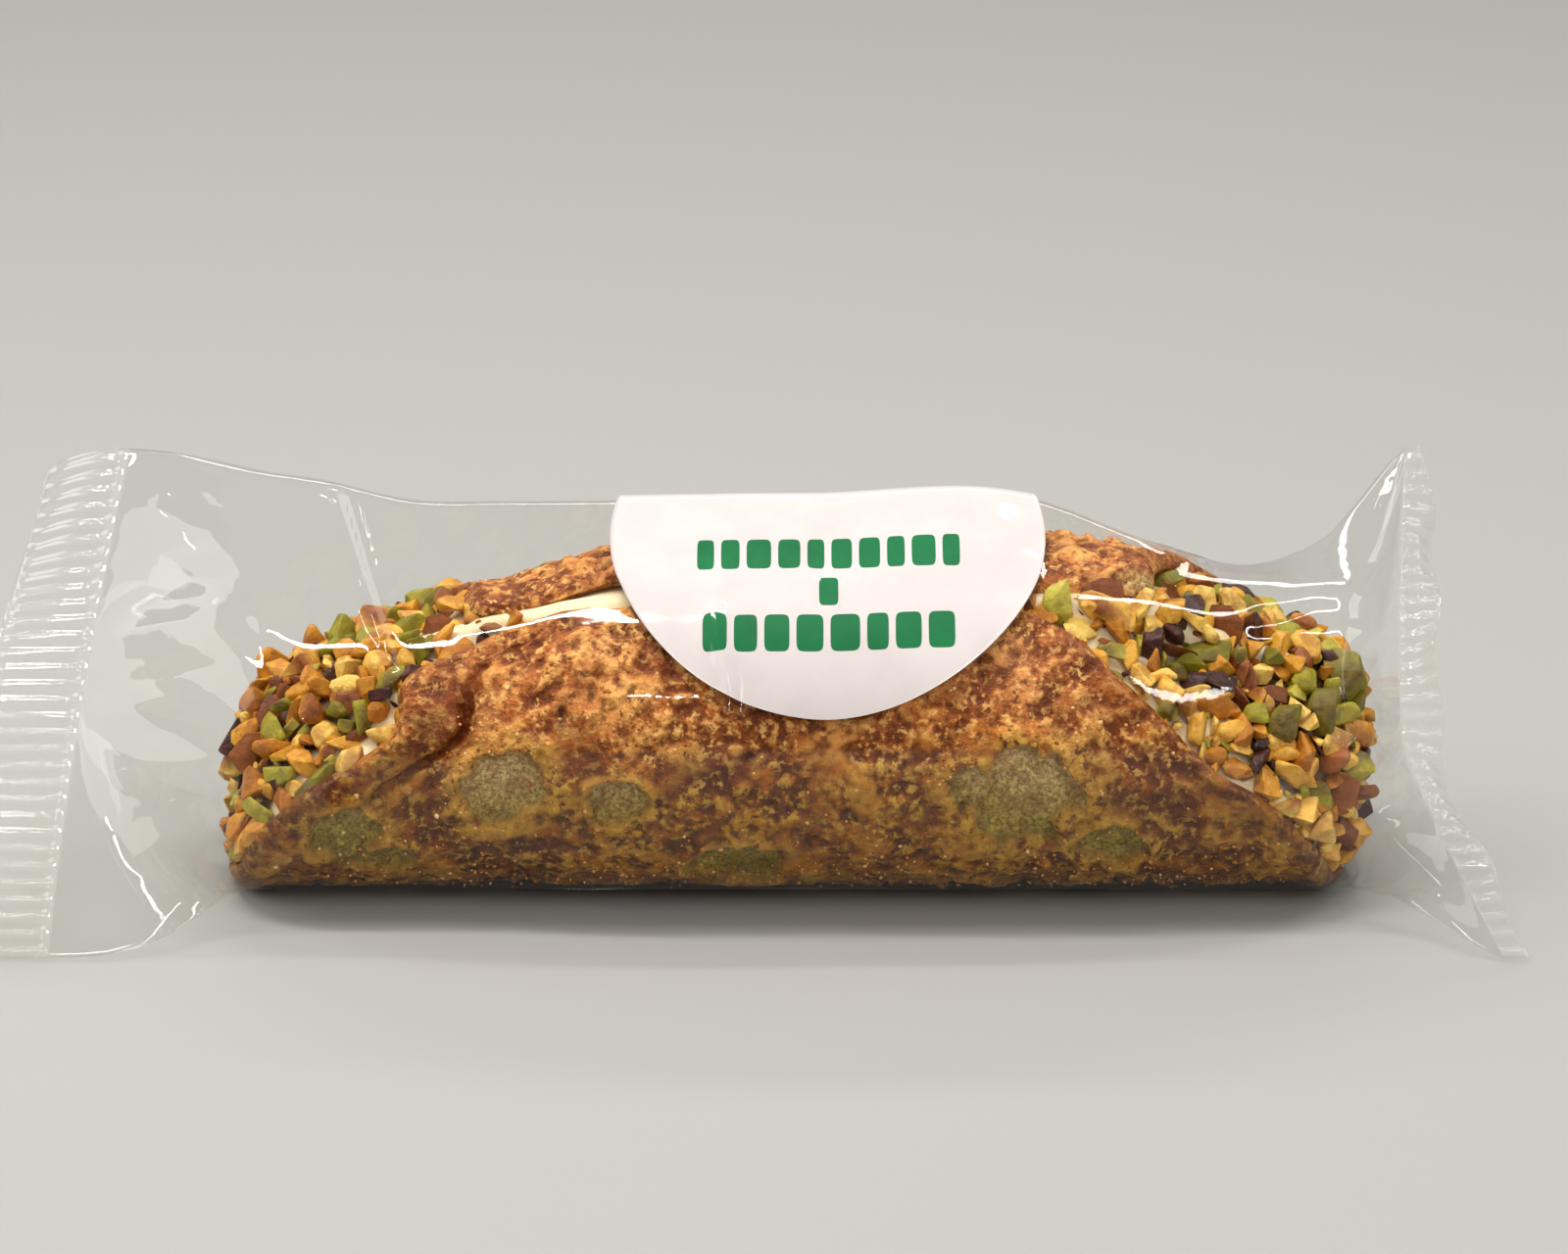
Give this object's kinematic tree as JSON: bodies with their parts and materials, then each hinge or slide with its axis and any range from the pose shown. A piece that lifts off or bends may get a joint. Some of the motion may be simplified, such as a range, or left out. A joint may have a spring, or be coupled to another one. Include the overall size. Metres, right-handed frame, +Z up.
{
  "type": "cannolo in a clear flow-wrap pack",
  "caption": "Filled cannolo with nut-covered open ends, sealed in a clear film pack with crimped flat ends and a round sticker on the top ridge.",
  "frame": {"origin": "middle of the pack's bounding box, at table height", "axes": "+X along the pack towards the narrow crimped seal, +Y to the back of the pack, towards the top corners of the end seals, +Z up"},
  "size_m": [0.1802, 0.0518, 0.0465],
  "materials": {
    "clear_film": "gloss",
    "sticker_paper": "satin",
    "sticker_green": "satin",
    "pastry": "satin",
    "cream": "satin",
    "almond": "matte",
    "pistachio": "matte",
    "nut_skin": "matte",
    "dried_fruit": "satin",
    "crumb": "matte"
  },
  "bodies": {
    "root": {"wrapper": "clear_film", "label": "sticker_paper"}
  },
  "joints": []
}
